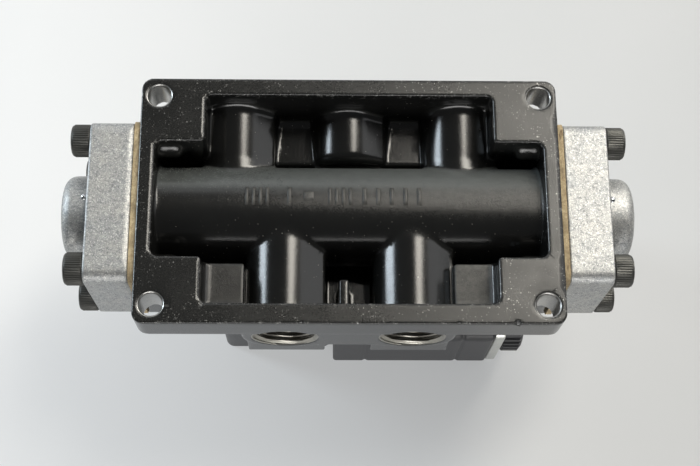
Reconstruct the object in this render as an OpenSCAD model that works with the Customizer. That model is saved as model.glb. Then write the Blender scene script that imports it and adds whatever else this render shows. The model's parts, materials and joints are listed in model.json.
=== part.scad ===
// Double-solenoid, air-piloted 5/2 directional valve with side ports.
// Origin: centre of the mounting face. +Z points out of that face, +X runs along the spool,
// -Y is the side with the two work ports, +Y the side with the supply and exhaust ports.

/* [Mounting flange] */
// Length of the flange along the spool
flange_l = 108; // [106:0.5:112]
// Width of the flange across the ports
flange_w = 65.8; // [65:0.2:68]
// Thickness of the flange
flange_t = 11.5; // [10:0.5:12]
// Radius of the flange's upright corners
flange_r = 3; // [1:0.5:4]
// Spacing of the mounting holes along the spool
hole_pitch_x = 98.6; // [97:0.2:99]
// Spacing of the mounting holes across the ports
hole_pitch_y = 56; // [54:0.5:57]
// Radius of the mounting holes
hole_r = 2.9; // [2.2:0.1:3.2]

/* [Housing] */
// Width of the housing below the flange
housing_w = 43.2; // [43:0.2:44]
// Height of the body from the mounting face to the pilot face
body_h = 35; // [34.5:0.1:36]
// Length of the trough around the spool tube
trough_l = 100; // [98:0.5:100]
// Width of the trough
trough_w = 31; // [30:0.5:31]
// Depth of the trough
trough_d = 25; // [22:0.5:26]
// Length of the wide part of the cavity
pocket_l = 74.6; // [72:0.2:75]
// Thickness of the wall on the work-port side
front_wall = 5.3; // [5:0.1:6]
// Thickness of the wall on the supply-port side
back_wall = 4.5; // [4:0.1:5]
// Depth of the shallow pockets beside the work ports
ledge_d = 8; // [6:0.5:9]
// Depth of the pocket between the work ports
mid_pocket_d = 21; // [18:0.5:21]
// Depth of the pockets between the supply and exhaust ports
back_pocket_d = 16; // [13:0.5:16]

/* [Spool and bore] */
// Depth of the spool axis below the mounting face
spool_z = 17; // [17:0.1:17.5]
// Outer radius of the spool tube
tube_r = 12.5; // [12.2:0.1:13]
// Radius of the spool bore
bore_r = 8; // [7.8:0.05:8.1]
// Radius of the ring grooves at the ports
groove_r = 10; // [9.5:0.1:10.2]
// Length of each ring groove
groove_l = 5; // [4.6:0.2:5]
// Spool travel from one end to the other
spool_travel = 5; // [4.8:0.1:5]
// Radial clearance of the spool and pistons
running_gap = 0.05; // [0.03:0.01:0.08]
// Radius of the pilot piston chambers
chamber_r = 9; // [8.5:0.1:9.2]

/* [Ports] */
// Distance of the work ports from the middle
work_port_x = 16.5; // [16:0.5:17]
// Distance of the exhaust ports from the middle
exhaust_port_x = 29.5; // [29:0.5:30]
// Minor radius of the port threads
port_r = 7.475; // [6.5:0.025:7.5]
// Depth of the port threads
port_d = 14; // [12:0.5:14]
// Distance of the port faces from the middle
port_face_y = 32.3; // [32:0.1:32.5]
// Depth of the exhaust port axes below the mounting face
exhaust_port_z = 19; // [18.5:0.5:20]
// Depth of the supply port axis below the mounting face
supply_port_z = 22; // [21:0.5:22]

/* [End caps] */
// Thickness of the end gaskets
gasket_t = 1.5; // [1:0.1:1.6]
// Thickness of the end cap plates
cap_t = 11.5; // [11:0.1:12]
// Height of the piston boss on each end cap
boss_h = 7.5; // [7:0.1:8]
// Radius of the piston boss
boss_r = 11.2; // [11:0.1:12]
// Distance of the cap screws from the middle plane
cap_screw_y = 17.4; // [17.2:0.1:17.6]

/* [Pilot valves] */
// Depth of the lowest face of the pilot valves below the mounting face
pilot_bottom = 75; // [75:0.5:78]
// Distance of the two pilot valve axes from the middle plane
pilot_y = 13.2; // [13.2:0.1:13.6]
// Width of each coil
coil_w = 25; // [24:0.5:25.5]
// Plunger travel
plunger_travel = 1.8; // [1:0.1:1.8]
// Travel of the manual override buttons
override_travel = 1.5; // [1:0.1:1.5]

/* [Hidden] */
$fn = 64;
eps = 0.01;

LEFT = -1;
RIGHT = 1;
FRONT = -1;
BACK = 1;

// Body
half_l = flange_l / 2;
half_w = flange_w / 2;
port_chamfer = 1.06;
boss_outer_r = 11.2;
branch_front_r = 10.5;
branch_back_r = 10;
supply_boss_y = 15;
supply_web_w = 16;
web_front_z = 25.5;
web_back_z = 27.5;
shoulder_x = 31;
rib_w = 4.4;
rib_l = 5;
rib_z = 12;

// Outline shared by the end caps and gaskets
cap_h = 33.2;
cap_top_z = 1.3;
housing_r = 3;
gasket_margin = 0.3;

// Screws: M5 for the caps, M4 for the pilot block
cap_screw_z = [5.65, 30.2];
m5_r = 2.45;
m5_hole_r = 2.5;
m5_head_r = 4.25;
m5_head_h = 5;
m5_key_r = 2.31;
m5_shank_l = 21;
m5_hole_l = 9.5;
cap_hole_play = 0.25;
screw_boss_r = 4.4;
m4_r = 1.95;
m4_hole_r = 2.0;
m4_head_r = 3.5;
m4_head_h = 4;
m4_key_r = 1.73;
clear_r = 2.2;
pilot_screw_at = [[-30, -16], [-30, 16], [-9, -2]];

// Places along the spool
cap_x0 = half_l + gasket_t;
cap_x1 = cap_x0 + cap_t;
boss_x1 = cap_x1 + boss_h;
boss_rim_r = 3;
chamber_x1 = boss_x1 - 3;
piston_l = 7;
piston_skirt_l = 3.4;
piston_nose_r = 6.5;
end_gap = 0.3;
spool_shift = -spool_travel / 2;
spool_half = chamber_x1 - end_gap - piston_l + spool_shift;
neck_r = 4.5;
land_l = 3;
land_at = [-38, -19, -14, 14, 19, 38];
seal_w = 1.6;
seal_depth = 1.2;
seal_gap = 0.03;
plug_x = cap_x1 + 1.3;
plug_y = 2;
plug_r = 1;
plug_z = 6.4;
gallery_r = 0.75;
cap_gallery_r = 0.6;
cap_gallery_z = 27.1;
body_gallery_z = 31;

// Pilot block and its channels
block_x0 = -35.5;
block_x1 = -4;
block_w = 42;
block_z0 = body_h + 1;
foot_x1 = 4;
foot_z1 = 43.3;
foot_y0 = -12;
foot_w = 10;
supply_feed = [-1.5, -7];
supply_rise_x = -19;
left_feed_x = -27;
right_feed_x = -15;
axis_z = pilot_bottom - 15;
nozzle_x = -13.5;
nozzle_r = 1.6;
pocket_x = -16;
pocket_r = 4.6;
base_x = -12;
base_r = 6.5;

// Armature tube, plunger and coil
tube_out_r = 5;
tube_in_r = 4.1;
core_x = 21.9;
tube_x1 = 44;
stub_r = 4;
stub_x1 = 52;
plunger_r = 4.03;
plunger_x0 = -13.2;
plunger_x1 = core_x - 0.1 - plunger_travel;
seat_r = 2.6;
seat_x = -13.45;
spring_pocket_x = 10;
spring_pocket_r = 2.9;
spring_r = 2.1;
tube_seal_x = -8;
tube_seal_r = 0.5;
coil_x0 = -3.5;
coil_x1 = 42;
coil_h = 30;
coil_core_r = 11;
coil_core_x0 = 0;
coil_core_x1 = 38.5;
yoke_t = 3;
nut_r = 12;
nut_teeth = 40;
nut_l = 6.3;

// Manual overrides
button_x = right_feed_x;
button_r = 2.6;
button_top = pilot_bottom - 0.5;
button_h = 4.5;
spring_solid_l = 2.5;
button_guide_z = button_top - button_h - override_travel - spring_solid_l;
stem_r = 1.2;
stem_z = button_guide_z;

// Electrical inlet
inlet_z = 56;
inlet_r = 6;
inlet_l = 11.5;
inlet_bore_r = 4.5;
pin_circle_r = 2.5;
pin_r = 0.5;
spigot_r = 5;
spigot_l = 5;
hex_l = 2.5;
hex_r = 9;

// Contact blades between the pilot block and each coil
blade_y = 3.5;
blade_z = 73;
blade_t = 0.7;
blade_h = 2.8;
blade_l = 6;

// Flat shapes ----------------------------------------------------------------------------

// Rectangle with round corners, centred
module round_rect(w, h, r) {
    square([w - 2 * r, h], center = true);
    square([w, h - 2 * r], center = true);
    for (x = [-1, 1], y = [-1, 1])
        translate([x * (w / 2 - r), y * (h / 2 - r)]) circle(r);
}

// Slot with round ends from one point to another along x
module slot_2d(length, r) {
    translate([0, -r]) square([length, 2 * r]);
    circle(r);
    translate([length, 0]) circle(r);
}

// Cylinder along X from x0 to x1
module rod_x(x0, x1, r) {
    translate([x0, 0, 0]) rotate([0, 90, 0]) cylinder(h = x1 - x0, r = r);
}

// Cylinder along Y from y0 to y1
module rod_y(y0, y1, r) {
    translate([0, y1, 0]) rotate([90, 0, 0]) cylinder(h = y1 - y0, r = r);
}

// Ring around X with a rectangular section
module ring_x(x0, x1, r_in, r_out) {
    difference() {
        rod_x(x0, x1, r_out);
        rod_x(x0 - 1, x1 + 1, r_in);
    }
}

// Round-section ring around Z
module o_ring(major_r, minor_r) {
    rotate_extrude() translate([major_r, 0]) circle(minor_r, $fn = 32);
}

// Coil spring along +Z from z = 0
module coil_spring(mean_r, wire_r, length, turns) {
    steps = round(turns * 16);
    sides = 8;
    rise = length - 2 * wire_r;
    points = [
        for (i = [0:steps])
            let (a = 360 * turns * i / steps)
            for (k = [0:sides - 1])
                let (b = 360 * k / sides, r = mean_r + wire_r * cos(b))
                [r * cos(a), r * sin(a), wire_r + rise * i / steps + wire_r * sin(b)]
    ];
    walls = [
        for (i = [0:steps - 1], k = [0:sides - 1])
            let (p = i * sides + k, q = i * sides + (k + 1) % sides)
            [p, q, q + sides, p + sides]
    ];
    first = [for (k = [sides - 1:-1:0]) k];
    last = [for (k = [0:sides - 1]) steps * sides + k];
    polyhedron(points, concat(walls, [first], [last]), convexity = 10);
}

// Socket screw with its head above z = 0 and its shank below
module socket_screw(head_r, head_h, shank_r, shank_l, key_r) {
    difference() {
        union() {
            cylinder(h = head_h - 0.4, r = head_r);
            translate([0, 0, head_h - 0.4]) cylinder(h = 0.4, r1 = head_r, r2 = head_r - 0.4);
            translate([0, 0, -shank_l]) cylinder(h = shank_l + eps, r = shank_r);
        }
        translate([0, 0, head_h / 2]) cylinder(h = head_h, r = key_r, $fn = 6);
    }
}

// Valve body -----------------------------------------------------------------------------

// Outline of the front bulge that holds the two work ports, seen along Y
module front_bulge_2d() {
    for (s = [-1, 1]) translate([s * work_port_x, -spool_z]) circle(boss_outer_r);
    side = work_port_x + boss_outer_r;
    translate([-side, -spool_z]) square([2 * side, spool_z - 1]);
    translate([-work_port_x, -web_front_z]) square([2 * work_port_x, web_front_z - 1]);
    shoulder_2d(side);
}

// Outline of the back bulge that holds the supply and exhaust ports, seen along Y
module back_bulge_2d() {
    for (s = [-1, 1]) translate([s * exhaust_port_x, -exhaust_port_z]) circle(boss_outer_r);
    translate([0, -supply_port_z]) circle(boss_outer_r);
    side = exhaust_port_x + boss_outer_r;
    translate([-side, -exhaust_port_z]) square([2 * side, exhaust_port_z - 1]);
    translate([-exhaust_port_x, -web_back_z]) square([2 * exhaust_port_x, web_back_z - 1]);
    shoulder_2d(side);
}

// Hollow fillets between a bulge of half width side and the underside of the flange
module shoulder_2d(side) {
    r = shoulder_x - work_port_x - boss_outer_r;
    for (s = [-1, 1])
        difference() {
            translate([s * (side + r / 2), -flange_t - r / 2 + eps]) square([r, r], center = true);
            translate([s * (side + r), -flange_t - r]) circle(r);
        }
}

module body_outside() {
    translate([0, 0, -flange_t]) linear_extrude(flange_t) round_rect(flange_l, flange_w, flange_r);
    translate([-half_l, 0, 0]) rotate([90, 0, 90]) linear_extrude(flange_l)
        difference() {
            translate([0, -body_h / 2 + 2]) round_rect(housing_w, body_h + 4, housing_r);
            translate([-50, 0]) square([100, 10]);
        }
    translate([0, -20, 0]) rotate([90, 0, 0]) linear_extrude(port_face_y - 20) front_bulge_2d();
    translate([0, port_face_y, 0]) rotate([90, 0, 0]) linear_extrude(port_face_y - 20) back_bulge_2d();
}

// Box between two corners
module span(a, b) {
    translate(a) cube(b - a);
}

module cavity() {
    y0 = -half_w + front_wall;
    y1 = half_w - back_wall;
    px = pocket_l / 2;
    ty = trough_w / 2;
    span([-trough_l / 2, -ty, -trough_d], [trough_l / 2, ty, 1]);
    span([-px, y0, -ledge_d], [px, -ty + eps, 1]);
    span([-work_port_x, y0, -mid_pocket_d], [work_port_x, -ty + eps, 1]);
    span([-px, ty - eps, -back_pocket_d], [px, y1, 1]);
}

module cavity_tubes() {
    translate([0, 0, -spool_z]) rod_x(-half_l + 2, half_l - 2, tube_r);
    for (s = [-1, 1]) {
        translate([s * work_port_x, 0, -spool_z]) rod_y(-port_face_y, 0, branch_front_r);
        translate([s * exhaust_port_x, 0, -exhaust_port_z]) rod_y(0, port_face_y, branch_back_r);
    }
    translate([0, 0, -supply_port_z]) rod_y(supply_boss_y, port_face_y, branch_back_r);
    for (x = [-1, 1], y = [-1, 1])
        translate([0, y * cap_screw_y, -cap_screw_z[0]]) mirror([x < 0 ? 1 : 0, 0, 0])
            rod_x(half_l - m5_hole_l - 1.5, half_l - 1, screw_boss_r);
    span([-supply_web_w / 2, 0, -trough_d - 1], [supply_web_w / 2, supply_boss_y + 1, -back_pocket_d]);
    span([-rib_w, -half_w + 2, -mid_pocket_d - 1], [0, -half_w + front_wall + rib_l, -rib_z]);
}

// Threaded port with its chamfer, cut inward from the face on one side
module port_cut(x, z, side) {
    translate([x, side * port_face_y, -z]) rotate([side * 90, 0, 0]) {
        translate([0, 0, -3]) cylinder(h = 3, r = port_r + port_chamfer + 1);
        cylinder(h = port_chamfer, r1 = port_r + port_chamfer, r2 = port_r);
        cylinder(h = port_d, r = port_r);
    }
}

// Cored slot that joins a port to its ring groove
module passage_cut(x, z, height, side) {
    r = groove_l / 2;
    translate([x, side * (port_face_y - port_d + 1), -z]) rotate([side * 90, 0, 0])
        linear_extrude(port_face_y - port_d + 1 - bore_r)
            rotate(90) translate([-height / 2 + r, 0]) slot_2d(height - 2 * r, r);
}

module body_cuts() {
    translate([0, 0, -spool_z]) {
        rod_x(-half_l - 1, half_l + 1, bore_r);
        for (x = [-exhaust_port_x, -work_port_x, 0, work_port_x, exhaust_port_x])
            rod_x(x - groove_l / 2, x + groove_l / 2, groove_r);
    }
    for (s = [-1, 1]) {
        port_cut(s * work_port_x, spool_z, FRONT);
        passage_cut(s * work_port_x, spool_z, 12, FRONT);
        port_cut(s * exhaust_port_x, exhaust_port_z, BACK);
        passage_cut(s * exhaust_port_x, exhaust_port_z, 10, BACK);
    }
    port_cut(0, supply_port_z, BACK);
    passage_cut(0, supply_port_z + 1, 9, BACK);
    for (x = [-1, 1], y = [-1, 1]) {
        translate([x * hole_pitch_x / 2, y * hole_pitch_y / 2, -flange_t - 1])
            cylinder(h = flange_t + 2, r = hole_r);
        for (z = cap_screw_z)
            translate([0, y * cap_screw_y, -z]) mirror([x < 0 ? 1 : 0, 0, 0])
                rod_x(half_l - m5_hole_l, half_l + 1, m5_hole_r);
    }
    for (p = pilot_screw_at) translate([p[0], p[1], -body_h - 1]) cylinder(h = 8, r = m4_hole_r);
    translate([0, plug_y, -body_gallery_z]) {
        rod_x(-half_l - 1, left_feed_x, gallery_r);
        rod_x(right_feed_x, half_l + 1, gallery_r);
    }
    for (x = [left_feed_x, right_feed_x])
        translate([x, plug_y, -body_h - 1]) cylinder(h = body_h - body_gallery_z + 1, r = gallery_r);
    translate([supply_feed[0], supply_feed[1], -body_h - 1])
        cylinder(h = body_h - spool_z - 6, r = gallery_r);
}

module valve_body() {
    color("#2e3031")
        difference() {
            union() {
                difference() {
                    body_outside();
                    cavity();
                }
                cavity_tubes();
            }
            body_cuts();
        }
}

// End caps -------------------------------------------------------------------------------

// Outline of the cap and gasket, seen along X: width on y, height on z
module cap_2d(grow) {
    translate([0, -cap_top_z - cap_h / 2])
        round_rect(housing_w + 2 * grow, cap_h + 2 * grow, housing_r);
}

module cap_screw_holes_2d() {
    for (y = [-1, 1], z = cap_screw_z) translate([y * cap_screw_y, -z]) circle(m5_hole_r + cap_hole_play);
}

module end_gasket(side) {
    color("#b59a66")
        mirror([side < 0 ? 1 : 0, 0, 0]) translate([half_l, 0, 0]) rotate([90, 0, 90])
            linear_extrude(gasket_t)
                difference() {
                    cap_2d(gasket_margin);
                    cap_screw_holes_2d();
                    translate([0, -spool_z]) circle(chamber_r);
                    translate([plug_y, -body_gallery_z]) rotate(90)
                        slot_2d(body_gallery_z - cap_gallery_z, gallery_r);
                }
}

module end_cap(side) {
    color("#b9bdbd")
        mirror([side < 0 ? 1 : 0, 0, 0])
            difference() {
                union() {
                    translate([cap_x0, 0, 0]) rotate([90, 0, 90]) linear_extrude(cap_t) cap_2d(0);
                    translate([cap_x1 - 1, 0, -spool_z]) rotate([0, 90, 0])
                        rotate_extrude() boss_profile(boss_h + 1);
                }
                translate([0, 0, -spool_z]) rod_x(cap_x0 - 1, chamber_x1, chamber_r);
                translate([cap_x0 - 1, 0, 0]) rotate([90, 0, 90])
                    linear_extrude(cap_t + 2) cap_screw_holes_2d();
                translate([0, plug_y, -cap_gallery_z]) rod_x(cap_x0 - 1, plug_x, cap_gallery_r);
                translate([plug_x, plug_y, -cap_gallery_z]) cylinder(h = 24, r = cap_gallery_r);
                translate([plug_x, plug_y, -plug_z - plug_r]) cylinder(h = 4 * plug_r, r = plug_r);
            }
}

// Half section of the piston boss: a disc with a rounded rim
module boss_profile(height) {
    square([boss_r, height - boss_rim_r]);
    square([boss_r - boss_rim_r, height]);
    translate([boss_r - boss_rim_r, height - boss_rim_r])
        intersection() {
            circle(boss_rim_r);
            square([boss_rim_r, boss_rim_r]);
        }
}

module cap_screws(side) {
    color("#3a3a3c")
        mirror([side < 0 ? 1 : 0, 0, 0])
            for (y = [-1, 1], z = cap_screw_z)
                translate([cap_x1, y * cap_screw_y, -z]) rotate([0, 90, 0])
                    socket_screw(m5_head_r, m5_head_h, m5_r, m5_shank_l, m5_key_r);
}

module passage_ball_plugs() {
    color("#d5d5d0")
        for (s = [-1, 1]) translate([s * plug_x, plug_y, -plug_z]) sphere(plug_r, $fn = 32);
}

// Spool ----------------------------------------------------------------------------------

// Places of the six lands with the spool at its left stop
function land_x(i) = land_at[i] + spool_shift;

module spool() {
    land_r = bore_r - running_gap;
    color("#c9cbcd") translate([0, 0, -spool_z])
        difference() {
            union() {
                rod_x(spool_shift - spool_half, spool_shift + spool_half, neck_r);
                for (i = [0:5]) rod_x(land_x(i) - land_l / 2, land_x(i) + land_l / 2, land_r);
            }
            for (i = [0:5])
                ring_x(land_x(i) - seal_w / 2, land_x(i) + seal_w / 2, bore_r - seal_depth, bore_r + 1);
        }
}

module spool_seals() {
    color("#202020") translate([0, 0, -spool_z])
        for (i = [0:5])
            ring_x(land_x(i) - seal_w / 2, land_x(i) + seal_w / 2, bore_r - seal_depth, bore_r - seal_gap);
}

// Middle of the seal groove of a piston, with the spool at its left stop
function piston_seal_x(side) =
    spool_shift + side * (spool_half + piston_skirt_l / 2);

module pilot_piston(side) {
    inner = spool_shift + side * spool_half;
    color("#d9d6cc") translate([inner, 0, -spool_z]) mirror([side < 0 ? 1 : 0, 0, 0])
        difference() {
            union() {
                rod_x(0, piston_skirt_l, chamber_r - running_gap);
                rod_x(0, piston_l, piston_nose_r);
            }
            ring_x(piston_skirt_l / 2 - seal_w / 2, piston_skirt_l / 2 + seal_w / 2,
                chamber_r - seal_depth, chamber_r + 1);
        }
}

module piston_seals() {
    color("#202020") translate([0, 0, -spool_z])
        for (s = [LEFT, RIGHT])
            ring_x(piston_seal_x(s) - seal_w / 2, piston_seal_x(s) + seal_w / 2,
                chamber_r - seal_depth, chamber_r - seal_gap);
}

// Pilot block ----------------------------------------------------------------------------

// Footprint of the pilot block and its foot, seen along Z
module block_2d() {
    translate([(block_x0 + block_x1) / 2, 0]) round_rect(block_x1 - block_x0, block_w, 2.5);
    translate([block_x1 - 3, foot_y0]) square([foot_x1 - block_x1 + 3, foot_w]);
}

module pilot_gasket() {
    color("#33443c") translate([0, 0, -block_z0]) linear_extrude(block_z0 - body_h)
        difference() {
            block_2d();
            for (p = pilot_screw_at) translate(p) circle(clear_r);
            translate([supply_rise_x, supply_feed[1]])
                slot_2d(supply_feed[0] - supply_rise_x, gallery_r);
            translate([left_feed_x, -pilot_y]) slot_2d(button_x - left_feed_x, gallery_r);
            translate([left_feed_x, -pilot_y]) rotate(90) slot_2d(pilot_y + plug_y, gallery_r);
            translate([right_feed_x, plug_y]) rotate(90) slot_2d(pilot_y - plug_y, gallery_r);
        }
}

// Everything cut from the block for one pilot valve
module pilot_cut(side) {
    translate([0, side * pilot_y, -axis_z]) {
        rod_x(base_x, block_x1 + 1, base_r);
        difference() {
            rod_x(pocket_x, base_x + 1, pocket_r);
            rod_x(pocket_x - 1, nozzle_x, nozzle_r);
        }
        rod_x(supply_rise_x, nozzle_x + 1, 0.5);
    }
    translate([button_x, side * pilot_y, 0]) {
        translate([0, 0, -axis_z]) cylinder(h = axis_z - body_h, r = gallery_r);
        translate([0, 0, -pilot_bottom - 1]) cylinder(h = 1 + pilot_bottom - button_guide_z,
            r = button_r + running_gap);
        translate([0, 0, -pilot_bottom]) cylinder(h = pilot_bottom - axis_z, r = stem_r + running_gap);
    }
    for (y = [-blade_y, blade_y])
        translate([block_x1 - 4, side * pilot_y + y - 0.45, -blade_z]) cube([5, 0.9, blade_h + 0.3]);
}

module pilot_block() {
    color("#26282a")
        difference() {
            union() {
                translate([0, 0, -foot_z1]) linear_extrude(foot_z1 - block_z0) block_2d();
                translate([0, 0, -pilot_bottom]) linear_extrude(pilot_bottom - block_z0)
                    translate([(block_x0 + block_x1) / 2, 0])
                        round_rect(block_x1 - block_x0, block_w, 2.5);
            }
            for (s = [FRONT, BACK]) pilot_cut(s);
            for (p = pilot_screw_at) translate([p[0], p[1], -pilot_bottom - 1]) {
                cylinder(h = pilot_bottom, r = clear_r);
                cylinder(h = m4_head_h + 2, r = m4_head_r + 0.2);
            }
            translate([supply_rise_x, supply_feed[1], -axis_z])
                cylinder(h = axis_z - body_h, r = gallery_r);
            translate([supply_rise_x, 0, -axis_z]) rod_y(-pilot_y - 1, pilot_y + 1, gallery_r);
            translate([0, 0, -inlet_z]) rod_x(block_x0 - 1, block_x0 + spigot_l, spigot_r);
        }
}

module pilot_screws() {
    color("#4a4a4c")
        for (p = pilot_screw_at)
            translate([p[0], p[1], -pilot_bottom + 1 + m4_head_h]) mirror([0, 0, 1])
                socket_screw(m4_head_r, m4_head_h, m4_r, pilot_bottom - 5 - body_h + 6, m4_key_r);
}

// Pilot valves ---------------------------------------------------------------------------

// Moves children from the pilot axis frame to one side
module at_pilot(side) {
    translate([0, side * pilot_y, -axis_z]) children();
}

module armature_tube(side) {
    color("#c4c6c8") at_pilot(side)
        difference() {
            union() {
                rod_x(base_x + 0.1, block_x1, base_r - 0.1);
                rod_x(block_x1 - eps, tube_x1, tube_out_r);
                rod_x(tube_x1 - eps, stub_x1, stub_r);
            }
            rod_x(base_x - 1, core_x, tube_in_r);
            ring_x(tube_seal_x - 1, tube_seal_x + 1, base_r - 1.1, base_r + 1);
            rod_x(stub_x1 - 2, stub_x1 + 1, 1);
        }
}

module tube_seals() {
    color("#1c1c1c")
        for (s = [FRONT, BACK])
            translate([tube_seal_x, s * pilot_y, -axis_z]) rotate([0, 90, 0])
                o_ring(base_r - 0.08 - tube_seal_r, tube_seal_r);
}

module plunger(side) {
    color("#b4b7ba") at_pilot(side)
        difference() {
            rod_x(plunger_x0, plunger_x1, plunger_r);
            rod_x(plunger_x0 - 1, plunger_x0 + 2, seat_r);
            rod_x(spring_pocket_x, plunger_x1 + 1, spring_pocket_r);
            for (y = [-1, 1])
                translate([plunger_x0 - 1, y * plunger_r - 0.5, -0.5])
                    cube([plunger_x1 - plunger_x0 + 2, 1, 1]);
        }
}

module plunger_seat(side) {
    color("#7a2a22") at_pilot(side) rod_x(seat_x, plunger_x0 + 2, seat_r);
}

module plunger_spring(side) {
    color("#d0d2d4") at_pilot(side)
        translate([spring_pocket_x + 0.05, 0, 0]) rotate([0, 90, 0])
            coil_spring(spring_r, 0.3, core_x - spring_pocket_x - 0.1, 7);
}

module coil_housing(side) {
    color("#1d1e20") at_pilot(side)
        difference() {
            translate([coil_x0, 0, 0]) rotate([90, 0, 90])
                linear_extrude(coil_x1 - coil_x0) round_rect(coil_w, coil_h, 3);
            rod_x(coil_x0 - 1, coil_x1 + 1, tube_out_r + 0.1);
            rod_x(coil_core_x0, coil_core_x1, coil_core_r);
            for (y = [-blade_y, blade_y])
                translate([coil_x0 - 1, y - 0.4, axis_z - blade_z]) cube([3, 0.8, blade_h + 0.2]);
        }
}

module coil_bobbin(side) {
    inner = tube_out_r + 0.15;
    color("#3b3f45") at_pilot(side) {
        ring_x(coil_core_x0 + 0.1, coil_core_x1 - 0.1, inner, inner + 1);
        ring_x(coil_core_x0 + 0.1, coil_core_x0 + 1.6, inner, coil_core_r - 0.2);
        ring_x(coil_core_x1 - 1.6, coil_core_x1 - 0.1, inner, coil_core_r - 0.2);
    }
}

module coil_winding(side) {
    color("#b5652a") at_pilot(side)
        ring_x(coil_core_x0 + 1.7, coil_core_x1 - 1.7, tube_out_r + 1.2, coil_core_r - 0.6);
}

module yoke(side) {
    color("#c8c9c4") at_pilot(side)
        difference() {
            union() {
                translate([coil_x1, 0, 0]) rotate([90, 0, 90])
                    linear_extrude(yoke_t) round_rect(coil_w - 1, coil_h - 1, 2);
                span([coil_x0, -9, coil_h / 2], [coil_x1 + yoke_t, 9, coil_h / 2 + 1.5]);
                span([coil_x1, -9, 0], [coil_x1 + yoke_t, 9, coil_h / 2 + 1.5]);
            }
            rod_x(coil_x1 - 1, coil_x1 + yoke_t + 1, tube_out_r + 0.1);
        }
}

// Outline of a knurled nut
module knurl_2d(r, teeth, depth) {
    polygon([
        for (i = [0:2 * teeth - 1])
            let (a = 180 * i / teeth, q = i % 2 == 0 ? r : r - depth)
            [q * cos(a), q * sin(a)]
    ]);
}

module coil_nut(side) {
    color("#2a2b2c") at_pilot(side)
        translate([coil_x1 + yoke_t, 0, 0]) rotate([0, 90, 0])
            difference() {
                linear_extrude(nut_l) knurl_2d(nut_r, nut_teeth, 0.6);
                translate([0, 0, -1]) cylinder(h = nut_l + 2, r = stub_r + 0.05);
            }
}

module coil_contacts() {
    color("#c9a24a")
        for (s = [FRONT, BACK], y = [-blade_y, blade_y])
            translate([block_x1 - 3.8, s * pilot_y + y - blade_t / 2, -blade_z + 0.1])
                cube([blade_l, blade_t, blade_h]);
}

// Manual overrides -----------------------------------------------------------------------

module override_button(side) {
    color("#b08d3c") translate([button_x, side * pilot_y, -button_top])
        difference() {
            union() {
                cylinder(h = button_h, r = button_r);
                cylinder(h = button_top - stem_z, r = stem_r);
            }
            translate([-button_r - 1, -0.4, -1]) cube([2 * button_r + 2, 0.8, 2]);
            translate([0, 0, 2])
                difference() {
                    cylinder(h = 1.4, r = button_r + 1);
                    translate([0, 0, -1]) cylinder(h = 4, r = button_r - 1);
                }
        }
}

module override_seal(side) {
    color("#1c1c1c") translate([button_x, side * pilot_y, -button_top + 2.7])
        o_ring(button_r - 0.5, 0.48);
}

module override_spring(side) {
    color("#d0d2d4") translate([button_x, side * pilot_y, -button_top + button_h + 0.05])
        coil_spring(spring_r, 0.25, button_top - button_h - button_guide_z - 0.1, 3);
}

// Electrical inlet -----------------------------------------------------------------------

module connector_body() {
    color("#c2b48a") translate([0, 0, -inlet_z])
        difference() {
            union() {
                rod_x(block_x0 - inlet_l, block_x0 + spigot_l, spigot_r);
                rod_x(block_x0 - inlet_l, block_x0, inlet_r);
                translate([block_x0 - hex_l, 0, 0]) rotate([0, 90, 0])
                    cylinder(h = hex_l, r = hex_r, $fn = 6);
            }
            rod_x(block_x0 - inlet_l - 1, block_x0 + spigot_l + 1, inlet_bore_r);
        }
}

module connector_insert() {
    color("#1f2022") translate([0, 0, -inlet_z]) rod_x(block_x0 - 4, block_x0 + spigot_l, inlet_bore_r);
}

module connector_pins() {
    color("#d9b65a") translate([0, 0, -inlet_z])
        for (a = [45:90:315])
            translate([0, pin_circle_r * cos(a), pin_circle_r * sin(a)])
                rod_x(block_x0 - inlet_l + 1.5, block_x0 - 4, pin_r);
}

valve_body();
end_gasket(LEFT);  // end_gasket_left
end_gasket(RIGHT);  // end_gasket_right
end_cap(LEFT);  // end_cap_left
end_cap(RIGHT);  // end_cap_right
cap_screws(LEFT);  // cap_screws_left
cap_screws(RIGHT);  // cap_screws_right
passage_ball_plugs();
spool();
spool_seals();
pilot_piston(LEFT);  // pilot_piston_left
pilot_piston(RIGHT);  // pilot_piston_right
piston_seals();
pilot_gasket();
pilot_block();
pilot_screws();
armature_tube(FRONT);  // armature_tube_a
armature_tube(BACK);  // armature_tube_b
tube_seals();
plunger(FRONT);  // plunger_a
plunger(BACK);  // plunger_b
plunger_seat(FRONT);  // plunger_seat_a
plunger_seat(BACK);  // plunger_seat_b
plunger_spring(FRONT);  // plunger_spring_a
plunger_spring(BACK);  // plunger_spring_b
coil_housing(FRONT);  // coil_housing_a
coil_housing(BACK);  // coil_housing_b
coil_bobbin(FRONT);  // coil_bobbin_a
coil_bobbin(BACK);  // coil_bobbin_b
coil_winding(FRONT);  // coil_winding_a
coil_winding(BACK);  // coil_winding_b
yoke(FRONT);  // yoke_a
yoke(BACK);  // yoke_b
coil_nut(FRONT);  // coil_nut_a
coil_nut(BACK);  // coil_nut_b
coil_contacts();
override_button(FRONT);  // override_button_a
override_button(BACK);  // override_button_b
override_seal(FRONT);  // override_seal_a
override_seal(BACK);  // override_seal_b
override_spring(FRONT);  // override_spring_a
override_spring(BACK);  // override_spring_b
connector_body();
connector_insert();
connector_pins();
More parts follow.
